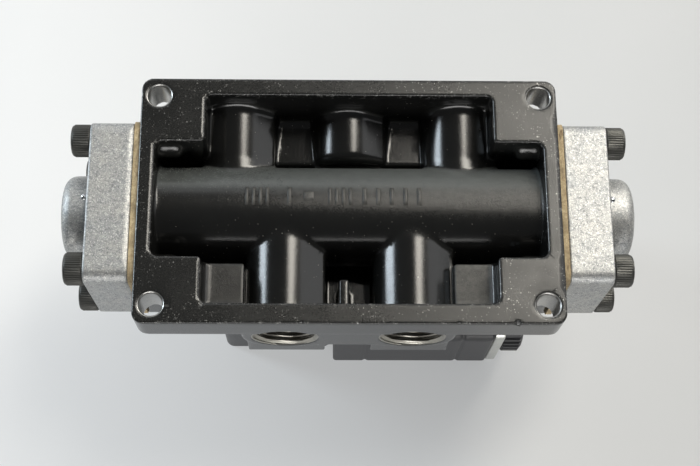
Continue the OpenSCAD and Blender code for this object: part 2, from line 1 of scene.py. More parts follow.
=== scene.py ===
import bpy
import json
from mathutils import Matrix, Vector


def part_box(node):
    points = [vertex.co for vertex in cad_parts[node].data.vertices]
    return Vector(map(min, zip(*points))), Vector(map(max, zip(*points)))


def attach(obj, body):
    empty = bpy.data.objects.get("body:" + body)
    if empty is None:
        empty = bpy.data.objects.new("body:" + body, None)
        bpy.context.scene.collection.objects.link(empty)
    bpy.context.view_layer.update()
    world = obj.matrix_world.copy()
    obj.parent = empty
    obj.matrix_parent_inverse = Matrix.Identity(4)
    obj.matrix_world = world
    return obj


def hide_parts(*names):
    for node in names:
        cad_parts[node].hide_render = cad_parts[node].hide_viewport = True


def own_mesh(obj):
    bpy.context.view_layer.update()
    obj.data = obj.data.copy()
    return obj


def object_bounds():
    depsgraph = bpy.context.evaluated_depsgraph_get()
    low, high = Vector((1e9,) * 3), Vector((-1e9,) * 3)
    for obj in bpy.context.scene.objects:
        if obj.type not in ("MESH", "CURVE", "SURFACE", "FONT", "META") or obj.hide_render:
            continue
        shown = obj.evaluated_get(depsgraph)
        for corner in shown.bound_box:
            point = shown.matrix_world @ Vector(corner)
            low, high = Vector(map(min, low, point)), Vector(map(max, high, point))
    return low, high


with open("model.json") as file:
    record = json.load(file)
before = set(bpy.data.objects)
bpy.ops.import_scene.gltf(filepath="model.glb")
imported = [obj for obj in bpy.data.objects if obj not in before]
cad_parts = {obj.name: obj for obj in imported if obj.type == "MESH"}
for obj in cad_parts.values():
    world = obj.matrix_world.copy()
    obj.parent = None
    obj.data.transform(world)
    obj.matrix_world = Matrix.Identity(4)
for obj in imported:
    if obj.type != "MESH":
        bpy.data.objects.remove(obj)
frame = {"nodes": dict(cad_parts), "record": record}
cad_box = [list(corner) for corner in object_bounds()]

import json
import math

import bpy
import numpy as np
import openvdb
from mathutils import Matrix, Vector

# Lengths below are in millimetres unless a name says otherwise. The frame is in metres.
MM = 0.001
nodes = frame["nodes"]
mounts = {m["name"]: m for m in frame["record"]["mounts"]}


def box_mm(node):
    """Lowest and highest corner of a CAD node, in millimetres."""
    low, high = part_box(node)
    return np.array(low) / MM, np.array(high) / MM


def mount_mm(name):
    """Place of a mount, in millimetres."""
    return np.array(mounts[name]["pos_m"]) / MM


# Sizes taken from the frame -----------------------------------------------------------------

body_low, body_high = box_mm("valve_body")
HALF_L = body_high[0]
HALF_W = body_high[1]
BODY_H = -body_low[2]
cap_low, cap_high = box_mm("end_cap_right")
CAP_IN = cap_low[0]
CAP_END = cap_high[0]
CAP_HALF_W = cap_high[1]
CAP_TOP = cap_high[2]
CAP_BOTTOM = cap_low[2]
CAP_MID_Z = (CAP_TOP + CAP_BOTTOM) / 2
screw_low, screw_high = box_mm("cap_screws_right")
SCREW_HEAD_H = 5.0
SCREW_HEAD_R = 4.25
CAP_FACE = screw_high[0] - SCREW_HEAD_H
SCREW_TIP = screw_low[0]
SCREW_Y = screw_high[1] - SCREW_HEAD_R
SCREW_Z = (screw_high[2] - SCREW_HEAD_R, screw_low[2] + SCREW_HEAD_R)
PORT_Z = mount_mm("port_a")[2]
WORK_X = mount_mm("port_b")[0]
EXHAUST_X = mount_mm("port_exhaust_right")[0]
EXHAUST_Z = mount_mm("port_exhaust_right")[2]
SUPPLY_Z = mount_mm("port_supply")[2]
HOLE_X = mounts["mounting_holes"]["dims"]["spacing_x_mm"] / 2
HOLE_Y = mounts["mounting_holes"]["dims"]["spacing_y_mm"] / 2
HOLE_R = mounts["mounting_holes"]["dims"]["hole_r_mm"]
PORT_R = mounts["port_a"]["dims"]["r_mm"]
PORT_FACE = 32.3
PORT_DEPTH = 14.0
PORT_CHAMFER_R = PORT_R + 1.06
FLANGE_T = 11.5
FLANGE_R = 3.0
# The floor lies a hair below the object, so that the two never share a plane. This one is in metres.
FLOOR_Z = cad_box[0][2] - 0.00005
BODY_SLOT = "coated_casting"

block_low, block_high = box_mm("pilot_block")
coil_low, coil_high = box_mm("coil_housing_b")
nut_low, nut_high = box_mm("coil_nut_b")
PILOT_Y = (coil_low[1] + coil_high[1]) / 2
PILOT_Z = (coil_low[2] + coil_high[2]) / 2
TUBE_OUT_R = 5.0

# The two ends of the body and the two solenoids: side and the word in their names
ENDS = ((-1, "left"), (1, "right"))
SOLENOIDS = ((-1, "a"), (1, "b"))


# Distance fields ------------------------------------------------------------------------------

def rect(a, b, half_a, half_b, r, at_a=0.0, at_b=0.0):
    """Distance to a rectangle with corners rounded to r."""
    qa = np.abs(a - at_a) - half_a + r
    qb = np.abs(b - at_b) - half_b + r
    return np.hypot(np.maximum(qa, 0), np.maximum(qb, 0)) + np.minimum(np.maximum(qa, qb), 0) - r


def join(a, b, r):
    """Union with a hollow fillet of radius r."""
    return np.maximum(r, np.minimum(a, b)) - np.hypot(np.maximum(r - a, 0), np.maximum(r - b, 0))


def meet(a, b, r):
    """Intersection with its edges rounded to r."""
    return np.minimum(-r, np.maximum(a, b)) + np.hypot(np.maximum(r + a, 0), np.maximum(r + b, 0))


def between(v, low, high):
    """Distance to the slab from low to high."""
    return np.abs(v - (low + high) / 2) - (high - low) / 2


def grid(low, high, step):
    """Three axes of a regular grid, shaped so that they broadcast."""
    axes = [np.arange(l, h + step, step, dtype=np.float32) for l, h in zip(low, high)]
    return axes[0][:, None, None], axes[1][None, :, None], axes[2][None, None, :]


def mesh_from_field(name, field_of, low, high, step, adaptivity=0.0):
    """A closed mesh of the zero surface of field_of(x, y, z), with normals taken from the field."""
    low = np.array(low) - 3 * step
    high = np.array(high) + 3 * step
    field = field_of(*grid(low, high, step))
    field = np.ascontiguousarray(np.clip(field, -3 * step, 3 * step), dtype=np.float32)
    vdb = openvdb.FloatGrid(3 * step)
    vdb.copyFromArray(field)
    points, tris, quads = vdb.convertToPolygons(0.0, adaptivity)
    normals = field_normals(field, points)
    verts = points * step + low
    mesh = bpy.data.meshes.new(name)
    mesh.from_pydata((verts * MM).tolist(), [], tris.tolist() + quads.tolist())
    mesh.polygons.foreach_set("use_smooth", np.ones(len(mesh.polygons), bool))
    mesh.normals_split_custom_set_from_vertices(normals.tolist())
    mesh.update()
    return add_object(name, mesh), verts, normals


def field_normals(field, points):
    """Unit gradient of the field at points given in voxels."""
    out = np.zeros((len(points), 3))
    for k in range(3):
        step = np.zeros(3)
        step[k] = 0.6
        out[:, k] = sample(field, points + step) - sample(field, points - step)
    return out / np.maximum(np.linalg.norm(out, axis=1, keepdims=True), 1e-9)


def sample(field, points):
    """Trilinear value of the field at points given in voxels."""
    p = np.clip(points, 0, np.array(field.shape) - 1.001)
    i = p.astype(int)
    f = p - i
    total = 0.0
    for dx in (0, 1):
        for dy in (0, 1):
            for dz in (0, 1):
                w = ((f[:, 0] if dx else 1 - f[:, 0]) * (f[:, 1] if dy else 1 - f[:, 1])
                     * (f[:, 2] if dz else 1 - f[:, 2]))
                total = total + w * field[i[:, 0] + dx, i[:, 1] + dy, i[:, 2] + dz]
    return total


# Meshes made of rings -------------------------------------------------------------------------

def add_object(name, mesh):
    """A new object in the scene's own collection."""
    obj = bpy.data.objects.new(name, mesh)
    bpy.context.scene.collection.objects.link(obj)
    return obj


def angles(count):
    """Evenly spaced angles round a full turn."""
    return np.arange(count) * 2 * np.pi / count


def hexagon(corner_r, turn):
    """Radius of a hexagon at each angle."""
    sixth = math.pi / 6
    return corner_r * math.cos(sixth) / np.cos((turn + sixth) % (2 * sixth) - sixth)


def ring_points(height, radii, count):
    """A ring of points about +Z; radii is one radius or one for each point."""
    turn = angles(count)
    radii = np.broadcast_to(radii, count)
    return np.stack([radii * np.cos(turn), radii * np.sin(turn), np.full(count, height)], axis=1)


def skin(rings, loop=False):
    """Points and faces of a closed skin over rings of equal length; loop joins the last to the first."""
    count = len(rings[0])
    faces = []
    for i in range(len(rings) if loop else len(rings) - 1):
        a = i * count
        b = (i + 1) % len(rings) * count
        for k in range(count):
            m = (k + 1) % count
            faces.append((a + k, a + m, b + m, b + k))
    if not loop:
        faces.append(tuple(range(count - 1, -1, -1)))
        faces.append(tuple(range((len(rings) - 1) * count, len(rings) * count)))
    return np.concatenate(rings), faces


def mesh_of_parts(name, parts, sharp_deg=35):
    """One object of several (points, faces, matrix); points are in millimetres."""
    verts, faces = [], []
    for points, part_faces, matrix in parts:
        start = len(verts)
        verts += [matrix @ Vector(p * MM) for p in points]
        faces += [tuple(i + start for i in face) for face in part_faces]
    mesh = bpy.data.meshes.new(name)
    mesh.from_pydata(verts, [], faces)
    mesh.polygons.foreach_set("use_smooth", np.ones(len(mesh.polygons), bool))
    mesh.set_sharp_from_angle(angle=math.radians(sharp_deg))
    return add_object(name, mesh)


def placed(at, direction):
    """Matrix that puts a part made about +Z at a point, along a direction."""
    turn = Vector(direction).to_track_quat("Z", "Y").to_matrix().to_4x4()
    return Matrix.Translation(Vector(at) * MM) @ turn


def finish_piece(obj, slot, *replaced):
    """Material, slot and the CAD nodes that the piece stands for. Every new piece rides on the housing."""
    paint(obj, materials[slot])
    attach(obj, "housing")
    if replaced:
        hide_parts(*replaced)


# Valve body -----------------------------------------------------------------------------------

TUBE_R = 13.2
TUBE_Z = PORT_Z + 0.9
BORE_R = 8.0
GROOVE_R = 10.0
GROOVE_HALF_L = 2.5
# Port branches in the hollow: radii, angle where the flank becomes straight, slope and lift of their crowns
BRANCH_FRONT_R = 10.5
BRANCH_BACK_R = 10.0
BRANCH_FLANK_DEG = 32.0
BRANCH_RISE = 0.10
BRANCH_RISE_Y = 14.0
BRANCH_LIFT = 1.7
BRANCH_END_Y = 31.0
SUPPLY_START_Y = 14.6
# Bulges round the ports, outside
BOSS_R = 11.2
BULGE_IN_Y = 18.0
BULGE_BOTTOM_R = 4.0
WEB_FRONT_D = 25.5
WEB_BACK_D = 27.5
PORT_JOIN_R = 3.0
WEB_JOIN_R = 5.0
FLANGE_JOIN_R = 4.8
SCREW_BOSS_R = 4.0
SCREW_BOSS_X = 43.0
TROUGH = dict(x=50.0, y=15.5, depth=25.0)
POCKET_X = 37.3
POCKET_IN_Y = 10.0
FRONT_WALL_Y = -HALF_W + 5.3
BACK_WALL_Y = HALF_W - 4.5
LEDGE_D = 6.4
LEDGE_X = 27.0
GAP_D = 14.5
MID_X = 14.0
MID_D = 23.5
BACK_D = 16.0
RIB_X = -1.3
RIB_HALF_W = 1.3
RIB_HALF_L = 4.4
RIB_TOP_Z = -9.0
HOLE_CHAMFER = 0.45
# Nicks in the outer edge of the mounting face: place along X and radius
NICKS = ((41.6, 0.9), (27.0, 0.45), (-12.0, 0.5), (-38.0, 0.4))


def pocket(x, y, z, x0, x1, y0, y1, depth, r_plan, r_floor, draft=0.04):
    """A cast pocket that opens upwards and narrows with depth."""
    walls = rect(x, y, (x1 - x0) / 2, (y1 - y0) / 2, r_plan, (x0 + x1) / 2, (y0 + y1) / 2) - draft * z
    return meet(walls, -z - depth, r_floor)


def cavity_field(x, y, z):
    """The hollow: a trough for the spool tube, and pockets in front of it and behind it."""
    t = TROUGH
    trough = pocket(x, y, z, -t["x"], t["x"], -t["y"], t["y"], t["depth"], 2.0, 3.0)
    front = (FRONT_WALL_Y, -POCKET_IN_Y)
    ledges = pocket(x, y, z, -POCKET_X, POCKET_X, *front, LEDGE_D, 1.8, 2.2)
    gap = pocket(x, y, z, -LEDGE_X, LEDGE_X, *front, GAP_D, 1.0, 0.6)
    middle = pocket(x, y, z, -MID_X, MID_X, *front, MID_D, 1.8, 2.5)
    front = np.minimum(ledges, np.minimum(gap, middle))
    back = pocket(x, y, z, -POCKET_X, POCKET_X, POCKET_IN_Y, BACK_WALL_Y, BACK_D, 1.8, 2.5)
    return join(join(trough, front, 1.0), back, 1.0)


def bulge_field(x, y, z, at, low_web, y0, y1):
    """The bulge round the ports on one side: at lists (x, z) of the port axes."""
    outline = None
    for px, pz in at:
        circle = np.hypot(x - px, z - pz) - BOSS_R
        outline = circle if outline is None else join(outline, circle, PORT_JOIN_R)
    far = max(px for px, pz in at)
    web = rect(x, z, far, (low_web - 1) / 2, 0.5, 0, -(low_web + 1) / 2)
    flank = rect(x, z, far + BOSS_R, 8.0, 0.5, 0, PORT_Z + 8)
    ceiling = rect(x, z, far + BOSS_R + 6, FLANGE_T / 2, 0.5, 0, -FLANGE_T / 2)
    outline = join(np.minimum(join(outline, web, WEB_JOIN_R), flank), ceiling, FLANGE_JOIN_R)
    bottom = min(pz for px, pz in at) - BOSS_R + 1.0
    outline = meet(outline, bottom - z, BULGE_BOTTOM_R)
    return meet(outline, between(y, y0, y1), 0.9)


def outside_field(x, y, z):
    """Flange, housing and the bulges round the ports, without any hollow."""
    flange = meet(rect(x, y, HALF_L, HALF_W, FLANGE_R), between(z, -FLANGE_T, 0), 0.4)
    ceiling = rect(y, z, CAP_HALF_W + 4, FLANGE_T / 2, 0.5, 0, -FLANGE_T / 2)
    section = rect(y, z, CAP_HALF_W, BODY_H / 2 + 2, 3.0, 0, -BODY_H / 2 + 2)
    housing = meet(join(section, ceiling, 1.5), np.abs(x) - HALF_L, 0.3)
    work_ports = [(-WORK_X, PORT_Z), (WORK_X, PORT_Z)]
    back_ports = [(-EXHAUST_X, EXHAUST_Z), (0, SUPPLY_Z), (EXHAUST_X, EXHAUST_Z)]
    front = bulge_field(x, y, z, work_ports, WEB_FRONT_D, -PORT_FACE, -BULGE_IN_Y)
    back = bulge_field(x, y, z, back_ports, WEB_BACK_D, BULGE_IN_Y, PORT_FACE)
    outside = np.minimum(np.minimum(flange, housing), np.minimum(front, back))
    return np.maximum(outside, z)


def branch(across, height, r):
    """Section of a cast port branch: round, with a straight sloping flank on the right."""
    turn = np.clip(np.arctan2(across, height), -math.pi / 2, math.radians(BRANCH_FLANK_DEG))
    surface = across * np.sin(turn) + height * np.cos(turn) - r
    return meet(surface, np.abs(across) - r + 0.1, 0.7)


def inside_field(x, y, z):
    """Spool tube, port branches, web, screw bosses and rib that stand in the hollow."""
    tube = meet(np.hypot(y, z - TUBE_Z) - TUBE_R, np.abs(x) - HALF_L + 2, 0.5)
    rise = BRANCH_LIFT + BRANCH_RISE * np.maximum(y - BRANCH_RISE_Y, 0)
    for s in (-1, 1):
        work = branch(x - s * WORK_X, z - PORT_Z - BRANCH_LIFT, BRANCH_FRONT_R)
        work = np.maximum(work, between(y, -BRANCH_END_Y, 2))
        exhaust = branch(x - s * EXHAUST_X, z - EXHAUST_Z - rise, BRANCH_BACK_R)
        exhaust = np.maximum(exhaust, between(y, -2, BRANCH_END_Y))
        tube = join(join(tube, work, 0.8), exhaust, 0.8)
    supply = branch(x, z - SUPPLY_Z - rise, BRANCH_BACK_R)
    supply = meet(supply, between(y, SUPPLY_START_Y, BRANCH_END_Y), 2.0)
    web = rect(x, z, 9.0, 5.0, 1.0, 0, -BACK_D - 5.2) + 0 * y
    web = np.maximum(web, between(y, 5, 20))
    bosses = np.hypot(np.abs(y) - SCREW_Y, z - SCREW_Z[0] + 0.8) - SCREW_BOSS_R
    bosses = meet(bosses, SCREW_BOSS_X - np.abs(x), 2.2)
    bosses = np.maximum(bosses, np.abs(x) - HALF_L + 1)
    rib = rect(x, y, RIB_HALF_W, RIB_HALF_L, 0.5, RIB_X, FRONT_WALL_Y + RIB_HALF_L)
    rib = meet(rib, z - RIB_TOP_Z, 0.6)
    parts = np.minimum(np.minimum(supply, web), np.minimum(bosses, rib))
    return np.minimum(tube, parts)


def cuts_field(x, y, z):
    """Mounting holes, ports, passages, nicks and the spool bore."""
    hole = np.hypot(np.abs(x) - HOLE_X, np.abs(y) - HOLE_Y) - HOLE_R
    cuts = np.minimum(hole, np.maximum(hole - HOLE_CHAMFER - z, -z - 3) + 0 * z)
    for px, pz, side in port_list():
        ring = np.hypot(x - px, z - pz)
        cuts = np.minimum(cuts, np.maximum(ring - PORT_CHAMFER_R, PORT_FACE - PORT_DEPTH - side * y))
        supply = px == 0
        slot = rect(x, z, 2.5, 4.5 if supply else 5.5, 2.5, px, pz - (1.0 if supply else 0.0))
        cuts = np.minimum(cuts, np.maximum(slot, between(side * y, 7.0, PORT_FACE - PORT_DEPTH + 1)))
        groove = np.maximum(np.hypot(y, z - PORT_Z) - GROOVE_R, np.abs(x - px) - GROOVE_HALF_L)
        cuts = np.minimum(cuts, groove)
    for nick_x, nick_r in NICKS:
        cuts = np.minimum(cuts, np.sqrt((x - nick_x) ** 2 + (y + HALF_W) ** 2 + z ** 2) - nick_r)
    return np.minimum(cuts, np.hypot(y, z - PORT_Z) - BORE_R + 0 * x)


def port_list():
    """(x, z, side) of every port; side is -1 for the work ports."""
    work = [(s * WORK_X, PORT_Z, -1) for s in (-1, 1)]
    back = [(s * EXHAUST_X, EXHAUST_Z, 1) for s in (-1, 1)]
    return work + back + [(0.0, SUPPLY_Z, 1)]


def body_field(x, y, z):
    """The whole casting; the fillets in the hollow grow towards the back wall."""
    shell = meet(outside_field(x, y, z), -cavity_field(x, y, z), 0.6)
    inner = np.maximum(inside_field(x, y, z), rect(x, y, HALF_L - 1, HALF_W - 1.2, FLANGE_R))
    fillet = 0.9 + 1.2 * np.clip((y - 18) / 8, 0, 1)
    return meet(join(shell, inner, fillet), -cuts_field(x, y, z), 0.12)


def body_masks(x, y, z, normals):
    """Where the coat is worn at edges, scratched on the face with a painted sheen that grows to the right,
    gritty with a painted sheen, or paler on the tube's far slope as a painted sheen.
    """
    hollow_wall = cavity_field(x, y, np.minimum(z, 0))
    outer_wall = rect(x, y, HALF_L, HALF_W, FLANGE_R)
    from_edge = np.minimum(np.abs(hollow_wall), np.abs(outer_wall))
    to_back, up = normals[:, 1], normals[:, 2]
    inside = (hollow_wall < 0.3) & (z < -1)
    tube = inside * np.clip((TUBE_R + 0.9 - np.hypot(y, z - TUBE_Z)) / 0.8, 0, 1)
    ledges = inside & (up > 0.75) & (z > -LEDGE_D - 6) & (y < -TUBE_R)
    ledges &= (np.abs(x) > LEDGE_X - 1) & (np.abs(x) < POCKET_X)
    crown = tube * np.clip((to_back + 0.55) / 0.6, 0, 1) ** 1.5
    return {
        "edge": np.exp(-(from_edge / 0.5) ** 2) * np.clip((z + 1.4) / 1.2, 0, 1),
        # Stronger to the right: denser scratches and rubbing, and a painted sheen
        "rim": np.clip((z + 0.5) / 0.4, 0, 1) * (up > 0.6) * np.interp(x, (-50, 50), (0.5, 1.0)),
        # Grit on the ledges and on the top and back of the tube, weighted to the right: a real texture
        # lightened with a painted sheen
        "sandy_and_sheen": np.maximum(ledges * np.interp(x, (-20, 20), (0.5, 1.0)),
                            crown * np.interp(x, (-35, 35), (0.2, 0.95))),
        # Paler where the tube faces the bright back of the room: a painted sheen
        "pale": tube * np.clip((to_back - 0.22) / 0.16, 0, 1),
    }


def build_body():
    """The casting, with the masks that its coat is painted by."""
    step = 0.4
    body, verts, normals = mesh_from_field(
        "cast_body", body_field, (-HALF_L, -HALF_W, -BODY_H), (HALF_L, HALF_W, 0), step, 0.01)
    for name, values in body_masks(*verts.T, normals).items():
        set_mask(body, name, values)
    finish_piece(body, BODY_SLOT, "valve_body")


def set_mask(obj, name, values):
    """One value for each point of the mesh, which a material can read by its name."""
    attribute = obj.data.attributes.new(name, "FLOAT", "POINT")
    attribute.data.foreach_set("value", values.astype(np.float32))


# Port threads ---------------------------------------------------------------------------------

THREAD_PITCH = 1.337
THREAD_DEPTH = 0.856
LINER_R = PORT_CHAMFER_R + 0.17


def thread_liner(name, x, z, side):
    """The bare, threaded wall of a port, as a sleeve set in the coated body."""
    sides = 88
    turn = angles(sides) / (2 * np.pi)
    depths = np.arange(0.1, PORT_DEPTH + 0.1, THREAD_PITCH / 7)
    inner = []
    for depth in depths[::-1]:
        wave = 0.5 - 0.5 * np.cos(2 * np.pi * (depth / THREAD_PITCH - turn))
        thread = PORT_R + THREAD_DEPTH * wave ** 0.8
        inner.append(ring_points(depth, np.maximum(thread, PORT_CHAMFER_R - 0.03 - depth), sides))
    outer = [ring_points(depth, LINER_R, sides) for depth in (depths[0] + 0.02, depths[-1])]
    points, faces = skin(outer + inner, loop=True)
    place = placed((x, side * PORT_FACE, z), (0, -side, 0))
    return mesh_of_parts(name, [(points, faces, place)], 60)


def build_port_threads():
    """A threaded wall for each port, in the order of port_list."""
    names = ("port_thread_a", "port_thread_b", "port_thread_exhaust_left",
             "port_thread_exhaust_right", "port_thread_supply")
    for name, (x, z, side) in zip(names, port_list()):
        finish_piece(thread_liner(name, x, z, side), "turned_aluminium")


# Cast marks -----------------------------------------------------------------------------------

# Groups of plain raised bars on the crown of the tube: first X, how many, pitch, half width
MARK_GROUPS = ((-26.3, 4, 1.75, 0.46), (-15.4, 1, 0.0, 0.6), (-10.4, 1, 0.0, 1.5),
               (-5.0, 4, 1.75, 0.46), (3.9, 5, 3.5, 0.62))
MARK_H = 0.42
MARK_DEG = (-4.0, 18.0)


def mark_bar(x, half_w, start_deg, end_deg):
    """Sections of a rounded bar that lies on the tube, from one angle off the crown to another."""
    sections = []
    outline = [(-1.0, -0.5), (-0.85, 0.55), (-0.45, 1.0), (0.45, 1.0), (0.85, 0.55), (1.0, -0.5)]
    for t in np.linspace(0, 1, 9):
        angle = math.radians(start_deg + (end_deg - start_deg) * t)
        rise = MARK_H * (1 - abs(2 * t - 1) ** 8)
        ring = []
        for across, height in outline:
            r = TUBE_R + (rise * height if height > 0 else -MARK_H)
            ring.append((x + across * half_w, r * math.sin(angle), TUBE_Z + r * math.cos(angle)))
        sections.append(np.array(ring))
    return sections


def build_cast_marks():
    """Plain raised bars on the crown of the tube; the widest one is also the shortest."""
    parts = []
    for first, count, pitch, half_w in MARK_GROUPS:
        for i in range(count):
            short = 5.0 if half_w > 1 else 0.0
            bar = mark_bar(first + i * pitch, half_w, MARK_DEG[0] + short, MARK_DEG[1] - short)
            parts.append((*skin(bar), Matrix.Identity(4)))
    marks = mesh_of_parts("cast_marks", parts, 50)
    count = len(marks.data.vertices)
    # The bars take the gritty coat of the crown, with its painted sheen
    set_mask(marks, "sandy_and_sheen", np.full(count, 0.9))
    set_mask(marks, "edge", np.full(count, 0.0))
    finish_piece(marks, BODY_SLOT)


# End caps -------------------------------------------------------------------------------------

CHAMBER_R = 9.12
CHAMBER_END = CAP_END - 3.0
CAP_HOLE_R = 2.75
DOME_RIM_R = 3.0
DISH_R = 6.8
DISH_D = 0.35


def end_cap_field(side):
    """Plate with a domed boss that has a shallow dish, a piston chamber and four screw holes."""
    def field(x, y, z):
        u = side * x
        plate = rect(y, z, CAP_HALF_W, (CAP_TOP - CAP_BOTTOM) / 2, 3.0, 0, CAP_MID_Z)
        plate = meet(plate, between(u, CAP_IN, CAP_FACE), 0.45)
        ring = np.hypot(y, z - PORT_Z)
        dome = meet(ring - BOSS_R + 0.03 * np.maximum(u - CAP_FACE, 0), u - CAP_END, DOME_RIM_R)
        dome = np.maximum(dome, CAP_IN + 2 - u)
        dome = np.maximum(dome, -meet(ring - DISH_R, CAP_END - DISH_D - u, 0.25))
        solid = join(plate, dome, 0.7)
        holes = np.maximum(ring - CHAMBER_R, u - CHAMBER_END)
        for screw_z in SCREW_Z:
            holes = np.minimum(holes, np.hypot(np.abs(y) - SCREW_Y, z - screw_z) - CAP_HOLE_R + 0 * x)
        return meet(solid, -holes, 0.15)
    return field


def build_end_caps():
    for side, word in ENDS:
        low = (min(side * CAP_IN, side * CAP_END), -CAP_HALF_W, CAP_BOTTOM)
        high = (max(side * CAP_IN, side * CAP_END), CAP_HALF_W, CAP_TOP)
        cap = mesh_from_field("cast_end_cap_" + word, end_cap_field(side), low, high, 0.35, 0.02)[0]
        finish_piece(cap, "cast_aluminium", "end_cap_" + word)


# Cap screws -----------------------------------------------------------------------------------

SHANK_R = 2.45
KEY_R = 2.31
KNURL_TEETH = 44
KNURL_D = 0.13


def socket_screw():
    """Knurled socket-head screw about +Z, with the underside of its head at 0."""
    sides = KNURL_TEETH * 4
    turn = angles(sides)
    knurl = SCREW_HEAD_R - KNURL_D * (0.5 - 0.5 * np.cos(KNURL_TEETH * turn)) ** 0.7
    key = hexagon(KEY_R, turn)
    tip = SCREW_TIP - CAP_FACE
    top = SCREW_HEAD_H
    rings = [(tip, SHANK_R - 0.6), (tip + 0.6, SHANK_R), (0, SHANK_R), (0, SCREW_HEAD_R - 0.35),
             (0.25, knurl - 0.12), (0.4, knurl), (top - 0.75, knurl), (top - 0.55, SCREW_HEAD_R - 0.18),
             (top - 0.3, SCREW_HEAD_R - 0.25), (top - 0.08, SCREW_HEAD_R - 0.5),
             (top, SCREW_HEAD_R - 0.75), (top, key + 0.22), (top - 0.2, key),
             (top - 2.4, key), (top - 2.7, key * 0.6)]
    return skin([ring_points(h, r, sides) for h, r in rings])


def build_cap_screws():
    points, faces = socket_screw()
    for side, word in ENDS:
        parts = [(points, faces, placed((side * CAP_FACE, y * SCREW_Y, z), (side, 0, 0)))
                 for y in (-1, 1) for z in SCREW_Z]
        screws = mesh_of_parts("socket_screws_" + word, parts, 32)
        finish_piece(screws, "black_steel", "cap_screws_" + word)


# Pilot block, coils, yokes and nuts -----------------------------------------------------------

BLOCK_X0 = block_low[0]
BLOCK_X1 = coil_low[0] - 0.5
# The foot is a low step of the block that reaches between the body and the coils
FOOT_Z = -43.3
FOOT_Y = -7
FOOT_HALF_W = 5
BLOCK_SCREWS = ((-30, -16), (-30, 16), (-9, -2))
BLOCK_HEAD_R = 3.7
BLOCK_HEAD_D = 5
BLOCK_SHANK_R = 2.2
# Bores along X for each solenoid: radius and X where it begins
PILOT_BORES = ((6.5, -12.0), (4.6, -16.0))
BUTTON_X = -15.0
BUTTON_R = 2.65
BUTTON_D = 9
BUTTON_CHAMFER = 0.5
STEM_R = 1.25
STEM_D = 15
# A shallow round dish about each button: radius of its sphere, and its centre below the face
FINGER_R = 22.6
FINGER_DROP = 22
INLET_Z = -56.0
COIL_CORE_R = 11.0
COIL_CORE_X = (0.0, 38.5)
COIL_GROOVE_X = (6.0, 33.0)
COIL_GROOVE_D = 0.4
PANEL_X = 19.5
PANEL_HALF = (10.5, 8.0)
PANEL_D = 0.45
YOKE_T = 3.0
YOKE_HALF_W = 12.0
YOKE_HALF_H = 14.5
# How far the strap's outline runs past it where it has no corner
STRAP_PAST = 20
STRAP_HALF_W = 9.0
STRAP_T = 1.5
NUT_TEETH = 40
STUB_R = 4.05


def pilot_block_field(x, y, z):
    """Milled block with its foot, screw holes, solenoid bores, button bores and inlet."""
    mid_x = (BLOCK_X0 + BLOCK_X1) / 2
    plan = rect(x, y, (BLOCK_X1 - BLOCK_X0) / 2, block_high[1], 2.5, mid_x, 0) + 0 * z
    solid = meet(plan, between(z, block_low[2], block_high[2]), 0.7)
    foot_x = BLOCK_X1 - 3
    foot = rect(x, y, (block_high[0] - foot_x) / 2, FOOT_HALF_W, 0.6, (block_high[0] + foot_x) / 2, FOOT_Y)
    solid = join(solid, meet(foot, between(z, FOOT_Z, block_high[2]), 0.5), 1.0)
    low = z - block_low[2]
    cuts = np.maximum(np.hypot(y, z - INLET_Z) - 5, x - BLOCK_X0 - 5)
    for px, py in BLOCK_SCREWS:
        ring = np.hypot(x - px, y - py)
        cuts = np.minimum(cuts, np.maximum(ring - BLOCK_HEAD_R, low - BLOCK_HEAD_D) + 0 * z)
        cuts = np.minimum(cuts, ring - BLOCK_SHANK_R + 0 * z)
    for side in (-1, 1):
        yy = y - side * abs(PILOT_Y)
        for bore_r, bore_x in PILOT_BORES:
            cuts = np.minimum(cuts, np.maximum(np.hypot(yy, z - PILOT_Z) - bore_r, bore_x - x))
        button = np.hypot(x - BUTTON_X, yy)
        cuts = np.minimum(cuts, np.maximum(button - BUTTON_R, low - BUTTON_D))
        cuts = np.minimum(cuts, np.maximum(button - STEM_R, low - STEM_D))
        cuts = np.minimum(cuts, button - BUTTON_R - BUTTON_CHAMFER + np.maximum(low, -1))
        cuts = np.minimum(cuts, np.hypot(button, low + FINGER_DROP) - FINGER_R)
    return meet(solid, -cuts, 0.15)


def build_pilot_block():
    block = mesh_from_field(
        "milled_pilot_block", pilot_block_field, block_low, block_high, 0.4, 0.02)[0]
    finish_piece(block, "black_block", "pilot_block")


def coil_field(side):
    """Moulded coil body with two grooves round it, a sunk panel below, and room for its winding."""
    def field(x, y, z):
        yy = y - side * abs(PILOT_Y)
        zz = z - PILOT_Z
        half_y = (coil_high[1] - coil_low[1]) / 2
        half_z = (coil_high[2] - coil_low[2]) / 2
        shell = rect(yy, zz, half_y, half_z, 3.0) + 0 * x
        for at in COIL_GROOVE_X:
            shell = shell + COIL_GROOVE_D * np.clip(1.4 - np.abs(x - at) / 0.45, 0, 1)
        solid = meet(shell, between(x, coil_low[0], coil_high[0]), 0.8)
        panel = rect(x, yy, *PANEL_HALF, 1.5, PANEL_X, 0) + 0 * z
        panel = np.maximum(panel, zz + half_z - PANEL_D)
        solid = meet(solid, -panel, 0.2)
        axis = np.hypot(yy, zz)
        cuts = np.minimum(axis - TUBE_OUT_R - 0.1 + 0 * x,
                          np.maximum(axis - COIL_CORE_R, between(x, *COIL_CORE_X)))
        return np.maximum(solid, -cuts)
    return field


def build_coils():
    shift = np.array([0, 2 * abs(PILOT_Y), 0])
    for side, word in ((1, "b"), (-1, "a")):
        move = 0 if side > 0 else shift
        coil = mesh_from_field("moulded_coil_" + word, coil_field(side), coil_low - move,
                               coil_high - move, 0.4, 0.02)[0]
        finish_piece(coil, "coil_resin", "coil_housing_" + word)


